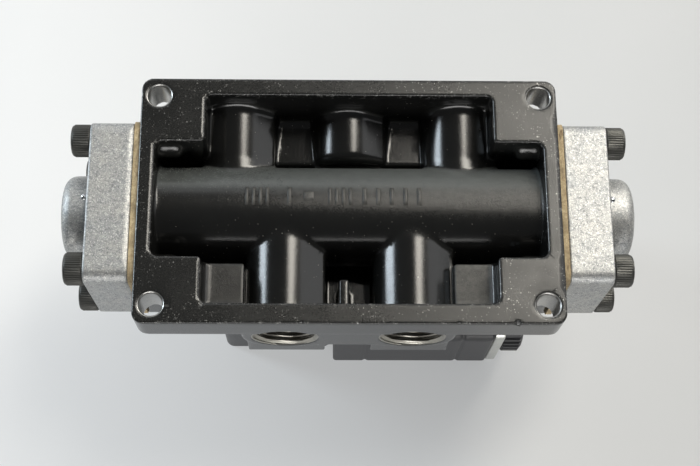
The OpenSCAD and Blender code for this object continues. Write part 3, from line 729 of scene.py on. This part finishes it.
def yoke_field(side):
    """Plate over the coil's end with a strap that folds back over its top."""
    def field(x, y, z):
        yy = y - side * abs(PILOT_Y)
        zz = z - PILOT_Z
        x0, x1 = coil_low[0], coil_high[0] + YOKE_T
        top = coil_high[2] - PILOT_Z
        past = STRAP_PAST
        plate = meet(rect(yy, zz, YOKE_HALF_W, YOKE_HALF_H, 2.0), between(x, x1 - YOKE_T, x1), 0.45)
        outer = rect(x, zz, (x1 - x0 + past) / 2, (top + STRAP_T + past) / 2, 2.2,
                     (x1 + x0 - past) / 2, (top + STRAP_T - past) / 2)
        inner = rect(x, zz, (x1 - YOKE_T - x0 + past) / 2, (top + past) / 2, 0.5,
                     (x1 - YOKE_T + x0 - past) / 2, (top - past) / 2)
        strap = np.maximum(np.maximum(outer, -inner) + 0 * yy, np.maximum(x0 - x, -zz))
        strap = meet(strap, np.abs(yy) - STRAP_HALF_W, 0.35)
        hole = np.hypot(yy, zz) - TUBE_OUT_R - 0.1
        return meet(join(plate, strap, 0.6), -hole + 0 * x, 0.25)
    return field


def build_yokes():
    for side, word in SOLENOIDS:
        low, high = box_mm("yoke_" + word)
        yoke = mesh_from_field("plated_yoke_" + word, yoke_field(side), low, high, 0.35, 0.02)[0]
        finish_piece(yoke, "zinc_steel", "yoke_" + word)


def coil_nut():
    """Knurled plastic nut about +Z with a recessed face."""
    sides = NUT_TEETH * 6
    radius = nut_high[2] - PILOT_Z
    height = nut_high[0] - nut_low[0]
    ridged = radius - 0.6 + 0.6 * np.clip(0.5 + 0.9 * np.cos(NUT_TEETH * angles(sides)), 0, 1)
    rings = [(0, STUB_R), (0, radius - 1.2), (0.35, radius - 0.75), (0.7, ridged),
             (height - 1.2, ridged), (height - 0.6, radius - 0.85),
             (height - 0.25, radius - 1.2), (height, radius - 1.9), (height, radius - 3.4),
             (height - 0.35, radius - 3.8), (height - 0.8, radius - 4.0), (height - 0.8, STUB_R + 1.7),
             (height - 0.7, STUB_R + 1.5), (height, STUB_R + 1.2), (height, STUB_R + 0.3),
             (height - 0.3, STUB_R)]
    return skin([ring_points(h, r, sides) for h, r in rings], loop=True)


def build_coil_nuts():
    points, faces = coil_nut()
    for side, word in SOLENOIDS:
        place = placed((nut_low[0], side * abs(PILOT_Y), PILOT_Z), (1, 0, 0))
        nut = mesh_of_parts("knurled_nut_" + word, [(points, faces, place)], 32)
        finish_piece(nut, "nut_plastic", "coil_nut_" + word)


# Electrical inlet -----------------------------------------------------------------------------

INLET_L = 11.5
INLET_R = 6.0
INLET_BORE_R = 4.5
INLET_IN = -5
INLET_IN_R = 5.0
INLET_PITCH = 1.0
HEX_L = 2.5
HEX_R = 9.0


def connector():
    """Male inlet about +Z from the block's face: hexagon, round thread and an open end."""
    sides = 96
    turn = angles(sides)
    flats = np.minimum(hexagon(HEX_R, turn), HEX_R - 0.35)
    neck_r = INLET_R - 0.7
    rings = [(INLET_IN, INLET_BORE_R), (INLET_IN, INLET_IN_R), (0, INLET_IN_R), (0, flats - 0.4),
             (0.3, flats), (HEX_L - 0.3, flats), (HEX_L, flats - 0.5), (HEX_L, neck_r),
             (HEX_L + 0.7, neck_r)]
    for height in np.arange(HEX_L + 0.9, INLET_L - 0.5, INLET_PITCH / 6):
        wave = 0.5 - 0.5 * np.cos(2 * np.pi * height / INLET_PITCH - turn)
        rings.append((height, INLET_R - 0.55 * wave))
    rings += [(INLET_L, INLET_R - 0.6), (INLET_L, INLET_BORE_R + 0.25), (INLET_L - 0.25, INLET_BORE_R)]
    return skin([ring_points(h, r, sides) for h, r in rings], loop=True)


def build_connector():
    points, faces = connector()
    place = placed((BLOCK_X0, 0, INLET_Z), (-1, 0, 0))
    inlet = mesh_of_parts("threaded_inlet", [(points, faces, place)], 40)
    finish_piece(inlet, "connector_brass", "connector_body")


# Springs --------------------------------------------------------------------------------------

SPRING_R = 2.1
# Plunger springs, along X; override springs, along Z
PLUNGER_WIRE_R = 0.3
PLUNGER_TURNS = 7
PLUNGER_SPRING_X0 = 10.05
PLUNGER_SPRING_X1 = 21.85
OVERRIDE_WIRE_R = 0.25
OVERRIDE_TURNS = 3


def coil_spring(mean_r, wire_r, length, turns):
    """Compression spring along +Z from 0 with closed ends."""
    wire_d = 2 * wire_r
    t = np.linspace(0, turns, turns * 30 + 1)
    rise = np.interp(t, [0, 0.9, turns - 0.9, turns],
                     [0, wire_d * 0.95, length - 1.95 * wire_d, length - wire_d])
    rings = []
    around = angles(10)
    for a, h in zip(t * 2 * np.pi, rise):
        r = mean_r + wire_r * np.cos(around)
        height = h + wire_r + wire_r * np.sin(around)
        rings.append(np.stack([r * math.cos(a), r * math.sin(a), height], axis=1))
    return skin(rings)


def spring_piece(name, at, direction, wire_r, length, turns):
    """One spring that starts at a point and runs along a direction."""
    points, faces = coil_spring(SPRING_R, wire_r, length, turns)
    return mesh_of_parts(name, [(points, faces, placed(at, direction))], 60)


def build_springs():
    """A spring for each plunger and each override button, each on a mesh of its own."""
    for side, word in SOLENOIDS:
        y = side * abs(PILOT_Y)
        length = PLUNGER_SPRING_X1 - PLUNGER_SPRING_X0
        spring = spring_piece("plunger_coil_spring_" + word, (PLUNGER_SPRING_X0, y, PILOT_Z), (1, 0, 0),
                              PLUNGER_WIRE_R, length, PLUNGER_TURNS)
        finish_piece(spring, "spring_steel", "plunger_spring_" + word)
        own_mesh(spring)

        low, high = box_mm("override_spring_" + word)
        length = high[2] - low[2]
        spring = spring_piece("override_coil_spring_" + word, (BUTTON_X, y, low[2]), (0, 0, 1),
                              OVERRIDE_WIRE_R, length, OVERRIDE_TURNS)
        finish_piece(spring, "spring_steel", "override_spring_" + word)
        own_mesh(spring)


# Materials ------------------------------------------------------------------------------------

class Shader:
    """A small helper to write node materials."""

    def __init__(self, name):
        self.material = bpy.data.materials.new(name)
        self.material.use_nodes = True
        self.tree = self.material.node_tree
        self.bsdf = self.tree.nodes["Principled BSDF"]
        self.coords = self.tree.nodes.new("ShaderNodeTexCoord").outputs["Object"]

    def node(self, kind, **inputs):
        n = self.tree.nodes.new(kind)
        for key, value in inputs.items():
            self.put(n.inputs[key.replace("_", " ")], value)
        return n

    def put(self, socket, value):
        """Link a socket, or set its value; a colour may leave out its alpha."""
        if isinstance(value, bpy.types.NodeSocket):
            self.tree.links.new(value, socket)
        elif isinstance(value, (tuple, list)) and len(value) == 3 and socket.type == "RGBA":
            socket.default_value = (*value, 1.0)
        else:
            socket.default_value = value

    def set(self, **inputs):
        for key, value in inputs.items():
            self.put(self.bsdf.inputs[key.replace("_", " ")], value)

    def scaled(self, stretch=(1, 1, 1)):
        """The object's own coordinates in millimetres, squeezed by stretch along each axis."""
        mapping = self.node("ShaderNodeMapping", Vector=self.coords)
        mapping.inputs["Scale"].default_value = [1 / MM * s for s in stretch]
        return mapping.outputs[0]

    def noise(self, per_mm, detail=2.0, rough=0.5, stretch=(1, 1, 1), distort=0.0):
        """Noise of about per_mm features a millimetre, 0 to 1."""
        n = self.node("ShaderNodeTexNoise", Vector=self.scaled(stretch), Scale=per_mm, Detail=detail,
                      Roughness=rough, Distortion=distort)
        return n.outputs["Fac"]

    def voronoi(self, per_mm):
        """Distance to scattered points, about per_mm of them a millimetre."""
        n = self.node("ShaderNodeTexVoronoi", Vector=self.scaled(), Scale=per_mm)
        return n.outputs["Distance"]

    def attribute(self, name):
        n = self.node("ShaderNodeAttribute")
        n.attribute_name = name
        return n.outputs["Fac"]

    def ramp(self, value, low, high, out_low=0.0, out_high=1.0):
        """Straight slope from out_low at low to out_high at high, level on both sides."""
        n = self.node("ShaderNodeMapRange", Value=value)
        n.inputs["From Min"].default_value = low
        n.inputs["From Max"].default_value = high
        n.inputs["To Min"].default_value = out_low
        n.inputs["To Max"].default_value = out_high
        return n.outputs["Result"]

    def math(self, operation, *values):
        n = self.tree.nodes.new("ShaderNodeMath")
        n.operation = operation
        for socket, value in zip(n.inputs, values):
            self.put(socket, value)
        return n.outputs[0]

    def hole_distance(self):
        """Distance from the axis of the nearest mounting hole, in metres."""
        split = self.node("ShaderNodeSeparateXYZ", Vector=self.coords)
        legs = [self.math("SUBTRACT", self.math("ABSOLUTE", split.outputs[i]), at * MM)
                for i, at in ((0, HOLE_X), (1, HOLE_Y))]
        squares = [self.times(leg, leg) for leg in legs]
        return self.math("SQRT", self.math("ADD", *squares))

    def most(self, first, *others):
        """The largest of the values."""
        for other in others:
            first = self.math("MAXIMUM", first, other)
        return first

    def times(self, a, b):
        return self.math("MULTIPLY", a, b)

    def mix(self, factor, a, b):
        """Mixed colour."""
        n = self.tree.nodes.new("ShaderNodeMix")
        n.data_type = "RGBA"
        self.put(n.inputs[0], factor)
        self.put(n.inputs[6], (*a, 1.0) if isinstance(a, tuple) else a)
        self.put(n.inputs[7], (*b, 1.0) if isinstance(b, tuple) else b)
        return n.outputs[2]

    def bump(self, height, strength, distance_mm, normal=None):
        """Normal over relief of a height in millimetres, on top of another normal if one is given."""
        n = self.node("ShaderNodeBump", Height=height, Strength=strength, Distance=distance_mm * MM)
        if normal is not None:
            self.put(n.inputs["Normal"], normal)
        return n.outputs["Normal"]


BLACK = (0.0045, 0.0048, 0.0048)
BLACK_DUSTY = (0.009, 0.009, 0.0085)
# Rubbed wear on the rim, with painted glints and sheen
BLACK_RUBBED_AND_SHEEN = (0.013, 0.013, 0.012)
# Gritty coat, lightened as a painted sheen
SANDY_AND_SHEEN = (0.070, 0.068, 0.062)
# Painted sheen on the tube's far slope
PAINTED_SHEEN = (0.070, 0.076, 0.074)
DUST = (0.16, 0.155, 0.14)
BARE_METAL = ((0.30, 0.30, 0.29), (0.50, 0.49, 0.47))


def scratches(s):
    """Specks and long thin scratches both ways, thick in some areas and thin in others."""
    specks = s.most(s.ramp(s.voronoi(0.62), 0.16, 0.10), s.ramp(s.voronoi(1.3), 0.20, 0.14))
    speck_area = s.ramp(s.noise(0.30, 3.0, 0.7), 0.44, 0.52)
    along_x = s.ramp(s.noise(0.7, 2.0, 0.6, (0.30, 2.4, 1.0), 0.8), 0.69, 0.76, 0.0, 0.6)
    along_y = s.ramp(s.noise(0.7, 2.0, 0.6, (2.6, 0.35, 1.0), 1.2), 0.69, 0.76, 0.0, 0.6)
    worn_area = s.ramp(s.noise(0.07, 2.0), 0.40, 0.62, 0.15, 1.0)
    return s.times(s.most(s.times(specks, speck_area), along_x, along_y), worn_area)


def coat_colour(s, rim, sandy_and_sheen, pale, patches, mottle, grain):
    """Black coat: rubbed on the rim with painted glints and sheen; gritty, and paler on the tube's far slope,
    by their masks, both with a painted sheen; with dust specks off the rim.
    """
    coat = s.mix(patches, BLACK, BLACK_DUSTY)
    # The rim lightens in grain-sized flecks, more to the right: rubbed wear with painted glints and sheen
    coat = s.mix(s.times(rim, s.ramp(grain, 0.35, 0.7, 0.3, 1.0)), coat, BLACK_RUBBED_AND_SHEEN)
    # Grit where its mask is, lighter to the right: a real texture with a painted sheen
    sand_and_sheen = s.times(s.times(sandy_and_sheen, sandy_and_sheen), s.ramp(mottle, 0.36, 0.66, 0.3, 1.0))
    coat = s.mix(sand_and_sheen, coat, SANDY_AND_SHEEN)
    # Paler on the tube's far slope: a painted sheen
    coat = s.mix(s.times(pale, s.ramp(mottle, 0.3, 0.7, 0.7, 1.0)), coat, PAINTED_SHEEN)
    dust = s.times(s.ramp(s.voronoi(0.7), 0.11, 0.05), s.ramp(s.noise(0.25, 2.0), 0.46, 0.6))
    return s.mix(s.times(dust, s.math("SUBTRACT", 1.0, rim)), coat, DUST)


def coated_casting():
    """Glossy black coat on a die casting: scratched on the face, chipped at the edges."""
    s = Shader("coated_casting")
    edge, rim, sandy_and_sheen, pale = (s.attribute(n) for n in ("edge", "rim", "sandy_and_sheen", "pale"))
    patches = s.noise(0.10, 3.0, 0.6)
    mottle = s.noise(0.55, 4.0, 0.65)
    grain = s.noise(2.4, 3.0, 0.7)
    fine = s.noise(6.0, 2.0, 0.6)

    marks = s.times(scratches(s), rim)
    chips = s.times(edge, s.ramp(s.noise(0.9, 4.0, 0.8), 0.56, 0.66))
    hole_edges = s.math("LESS_THAN", s.hole_distance(), (HOLE_R + 0.42) * MM)
    metal = s.most(hole_edges, s.times(marks, 0.85), s.times(chips, 0.75))

    rough = s.ramp(grain, 0.3, 0.75, 0.14, 0.24)
    rough = s.math("ADD", rough, s.times(rim, s.ramp(patches, 0.3, 0.7, 0.10, 0.20)))
    rough = s.math("ADD", rough, s.times(sandy_and_sheen, s.ramp(mottle, 0.35, 0.7, 0.24, 0.40)))
    rough = s.math("ADD", rough, s.times(metal, 0.12))

    normal = s.bump(grain, 0.30, 0.05)
    normal = s.bump(fine, 0.22, 0.02, normal)
    normal = s.bump(s.times(sandy_and_sheen, s.noise(1.8, 4.0, 0.8)), 0.55, 0.20, normal)
    normal = s.bump(marks, 0.4, -0.04, normal)

    coat = coat_colour(s, rim, sandy_and_sheen, pale, patches, mottle, grain)
    colour = s.mix(metal, coat, s.mix(grain, *BARE_METAL))
    s.set(Base_Color=colour, Roughness=rough, Metallic=metal, Normal=normal)
    s.bsdf.inputs["IOR"].default_value = 1.5
    return s.material


def cast_aluminium():
    """Sand-grey die-cast aluminium with sparkling grain and grey stains."""
    s = Shader("cast_aluminium")
    grain = s.noise(1.0, 4.0, 0.85)
    fine = s.noise(2.6, 3.0, 0.8)
    stains = s.noise(0.20, 4.0, 0.7)
    specks = s.ramp(fine, 0.54, 0.66)
    colour = s.mix(s.ramp(stains, 0.3, 0.7), (0.30, 0.31, 0.315), (0.40, 0.395, 0.38))
    colour = s.mix(s.ramp(grain, 0.50, 0.62, 0.0, 0.75), colour, (0.17, 0.18, 0.19))
    colour = s.mix(specks, colour, (0.70, 0.70, 0.68))
    rough = s.ramp(grain, 0.3, 0.75, 0.42, 0.60)
    normal = s.bump(fine, 0.6, 0.10, s.bump(grain, 0.5, 0.14))
    s.set(Base_Color=colour, Roughness=rough, Metallic=0.85, Normal=normal)
    return s.material


def plain_metal(name, low, high, rough_low, rough_high, stretch=(1, 1, 1), metallic=1.0):
    """Turned, drawn or plated metal; stretch lays its grain along the small axis."""
    s = Shader(name)
    grain = s.noise(3.0, 3.0, 0.65, stretch)
    patches = s.noise(0.25, 3.0, 0.6)
    stains = s.ramp(s.noise(1.2, 4.0, 0.8), 0.58, 0.72, 0.0, 0.4)
    colour = s.mix(patches, low, high)
    colour = s.mix(stains, colour, tuple(0.6 * c for c in low))
    s.set(Base_Color=colour, Roughness=s.ramp(grain, 0.3, 0.7, rough_low, rough_high),
          Metallic=metallic, Normal=s.bump(grain, 0.25, 0.03))
    return s.material


def moulded(name, low, high, rough_low, rough_high):
    """Moulded plastic, resin or rubber with a fine sparked skin."""
    s = Shader(name)
    grain = s.noise(3.5, 3.0, 0.6)
    patches = s.noise(0.15, 3.0)
    scuffs = s.ramp(s.noise(0.5, 2.0, 0.6, (0.3, 2.0, 1.0), 0.8), 0.66, 0.74, 0.0, 0.35)
    colour = s.mix(scuffs, s.mix(patches, low, high), tuple(min(1.0, 2.2 * c + 0.02) for c in high))
    s.set(Base_Color=colour, Roughness=s.ramp(grain, 0.3, 0.7, rough_low, rough_high),
          Normal=s.bump(grain, 0.35, 0.05))
    return s.material


def fibre(name, low, high):
    """Pressed fibre sheet with dark and light flecks."""
    s = Shader(name)
    flecks = s.noise(1.6, 4.0, 0.75)
    threads = s.noise(1.0, 3.0, 0.6, (1, 0.3, 1.5))
    stains = s.noise(0.22, 3.0, 0.6)
    colour = s.mix(s.ramp(flecks, 0.35, 0.68), low, high)
    colour = s.mix(s.ramp(threads, 0.56, 0.70), colour, (0.16, 0.11, 0.06))
    colour = s.mix(s.ramp(stains, 0.45, 0.65, 0.0, 0.7), colour, (0.22, 0.17, 0.10))
    s.set(Base_Color=colour, Roughness=0.85, Normal=s.bump(flecks, 0.7, 0.15))
    return s.material


def anodised():
    """Satin black anodising with faint milling lines."""
    s = Shader("black_block")
    grain = s.noise(4.0, 3.0, 0.6)
    milling = s.noise(1.6, 2.0, 0.5, (0.1, 3.0, 3.0))
    patches = s.noise(0.15, 3.0)
    s.set(Base_Color=s.mix(patches, (0.014, 0.015, 0.016), (0.026, 0.027, 0.029)),
          Roughness=s.ramp(grain, 0.3, 0.7, 0.32, 0.44), Metallic=0.3,
          Normal=s.bump(milling, 0.2, 0.02, s.bump(grain, 0.25, 0.02)))
    return s.material


def make_materials():
    """One material for each slot of the record."""
    bright = dict(low=(0.62, 0.63, 0.64), high=(0.74, 0.75, 0.76))
    made = [
        coated_casting(),
        cast_aluminium(),
        anodised(),
        fibre("gasket_fibre", (0.30, 0.22, 0.12), (0.56, 0.46, 0.29)),
        moulded("seal_rubber", (0.012, 0.012, 0.012), (0.022, 0.022, 0.022), 0.4, 0.55),
        moulded("piston_plastic", (0.62, 0.60, 0.52), (0.74, 0.72, 0.64), 0.35, 0.5),
        moulded("gasket_green", (0.04, 0.07, 0.055), (0.06, 0.10, 0.08), 0.5, 0.7),
        moulded("seat_rubber", (0.25, 0.05, 0.035), (0.34, 0.07, 0.05), 0.4, 0.55),
        moulded("coil_resin", (0.014, 0.014, 0.016), (0.026, 0.026, 0.029), 0.38, 0.55),
        moulded("bobbin_plastic", (0.04, 0.045, 0.05), (0.06, 0.065, 0.07), 0.4, 0.5),
        moulded("nut_plastic", (0.022, 0.022, 0.024), (0.035, 0.035, 0.038), 0.4, 0.55),
        moulded("connector_plastic", (0.015, 0.015, 0.016), (0.025, 0.025, 0.027), 0.4, 0.5),
        plain_metal("black_steel", (0.050, 0.050, 0.046), (0.085, 0.084, 0.078), 0.34, 0.52, metallic=0.8),
        plain_metal("turned_aluminium", (0.24, 0.23, 0.205), (0.40, 0.385, 0.345), 0.28, 0.44),
        plain_metal("bright_steel", rough_low=0.10, rough_high=0.2, **bright),
        plain_metal("stainless_steel", rough_low=0.16, rough_high=0.28, stretch=(6, 0.3, 0.3), **bright),
        plain_metal("spring_steel", rough_low=0.14, rough_high=0.24, **bright),
        plain_metal("copper_wire", (0.55, 0.22, 0.08), (0.72, 0.32, 0.12), 0.2, 0.35, (8, 0.2, 0.2)),
        plain_metal("zinc_steel", (0.50, 0.51, 0.49), (0.70, 0.70, 0.66), 0.26, 0.46),
        plain_metal("contact_brass", (0.75, 0.55, 0.22), (0.85, 0.66, 0.30), 0.15, 0.28),
        plain_metal("button_brass", (0.58, 0.42, 0.17), (0.70, 0.52, 0.24), 0.2, 0.34),
        plain_metal("connector_brass", (0.50, 0.48, 0.42), (0.66, 0.64, 0.56), 0.2, 0.36),
    ]
    # The frame's own materials already hold these names, so Blender adds a number after a point
    return {material.name.split(".")[0]: material for material in made}


def paint(obj, material):
    obj.data.materials.clear()
    obj.data.materials.append(material)


# Stage ----------------------------------------------------------------------------------------

# Lengths here are in metres, since the lights and the floor stand far from the part
FLOOR_HALF = 1.5
FLOOR_GREYS = ((0.315, 0.32, 0.32), (0.345, 0.345, 0.345))
# The floor glows a little, more on the left than on the right, so that shadows on it stay light
FLOOR_GLOW_X = (-0.10, 0.13)
FLOOR_GLOW = (0.50, 0.22)
COOL_WHITE = (0.97, 0.99, 1.0)

CAMERA_LENS = 69.07
CAMERA_PLACE = (-0.0075, -0.1148, 0.3211)
# Turns about X, Y and Z from looking straight down
CAMERA_TURN_DEG = (18.173, -1.296, -0.148)

# The room is bright towards the back and dim elsewhere; the ramp is over the cosine to that side
ROOM_BRIGHT_SIDE = (0.0, 1.0, 0.0)
ROOM_RAMP = (0.52, 0.74)
ROOM_STRENGTH = (0.12, 1.1)


def build_floor():
    """A pale floor that the object rests on."""
    half = FLOOR_HALF
    corners = [(-half, -half, FLOOR_Z), (half, -half, FLOOR_Z), (half, half, FLOOR_Z), (-half, half, FLOOR_Z)]
    mesh = bpy.data.meshes.new("floor")
    mesh.from_pydata(corners, [], [(0, 1, 2, 3)])
    floor = add_object("floor", mesh)
    s = Shader("floor_paint")
    cloud = s.noise(0.02, 4.0, 0.6)
    grain = s.noise(0.5, 3.0, 0.7)
    across = s.node("ShaderNodeSeparateXYZ", Vector=s.coords).outputs[0]
    s.set(Base_Color=s.mix(cloud, *FLOOR_GREYS), Roughness=0.7, Specular_IOR_Level=0.2,
          Normal=s.bump(grain, 0.12, 0.2), Emission_Color=COOL_WHITE,
          Emission_Strength=s.ramp(across, *FLOOR_GLOW_X, *FLOOR_GLOW))
    paint(floor, s.material)


def build_camera():
    """A camera high over the front of the valve, looking down into its hollow."""
    data = bpy.data.cameras.new("camera")
    data.sensor_width = 36
    data.lens = CAMERA_LENS
    data.clip_start = 0.01
    camera = bpy.data.objects.new("camera", data)
    camera.location = CAMERA_PLACE
    camera.rotation_euler = [math.radians(degrees) for degrees in CAMERA_TURN_DEG]
    bpy.context.scene.collection.objects.link(camera)
    bpy.context.scene.camera = camera


def area_light(name, place, size, power, colour):
    """A soft panel that faces the middle of the object; power in watts."""
    data = bpy.data.lights.new(name, "AREA")
    data.shape = "RECTANGLE"
    data.size, data.size_y = size
    data.energy = power
    data.color = colour
    light = bpy.data.objects.new(name, data)
    light.location = place
    direction = Vector((0, 0, -0.03)) - Vector(place)
    light.rotation_euler = direction.to_track_quat("-Z", "Y").to_euler()
    bpy.context.scene.collection.objects.link(light)


def build_room():
    """A dim, even room that is brighter towards the back."""
    world = bpy.data.worlds.new("world")
    bpy.context.scene.world = world
    world.use_nodes = True
    tree = world.node_tree
    background = tree.nodes["Background"]
    coords = tree.nodes.new("ShaderNodeTexCoord")
    side = tree.nodes.new("ShaderNodeVectorMath")
    side.operation = "DOT_PRODUCT"
    side.inputs[1].default_value = ROOM_BRIGHT_SIDE
    tree.links.new(coords.outputs["Generated"], side.inputs[0])
    ramp = tree.nodes.new("ShaderNodeMapRange")
    ramp.interpolation_type = "SMOOTHSTEP"
    for end, value in zip(("From Min", "From Max", "To Min", "To Max"), ROOM_RAMP + ROOM_STRENGTH):
        ramp.inputs[end].default_value = value
    tree.links.new(side.outputs["Value"], ramp.inputs["Value"])
    tree.links.new(ramp.outputs["Result"], background.inputs["Strength"])
    background.inputs["Color"].default_value = (*COOL_WHITE, 1)


def build_lights():
    """Two tall panels far left and back right, one soft panel on the right, a low one in front."""
    area_light("window_left", (-0.92, 0.33, 0.32), (0.22, 0.5), 6.2, (0.80, 0.91, 1.0))
    area_light("strip_right", (0.46, 0.50, 0.80), (0.28, 0.9), 11.5, (1.0, 0.955, 0.86))
    area_light("panel_right", (0.80, 0.33, 0.45), (0.65, 0.6), 1.6, (0.98, 0.99, 1.0))
    area_light("low_front", (0.1, -1.3, 0.30), (1.4, 0.35), 11.0, (1.0, 0.99, 0.97))


# Build ----------------------------------------------------------------------------------------

materials = make_materials()
for part in frame["record"]["subparts"]:
    paint(nodes[part["node"]], materials[part["material_slot"]])

build_body()
build_port_threads()
build_cast_marks()
build_end_caps()
build_cap_screws()
build_pilot_block()
build_coils()
build_yokes()
build_coil_nuts()
build_connector()
build_springs()
build_floor()
build_camera()
build_room()
build_lights()
bpy.context.scene.view_settings.view_transform = "Standard"
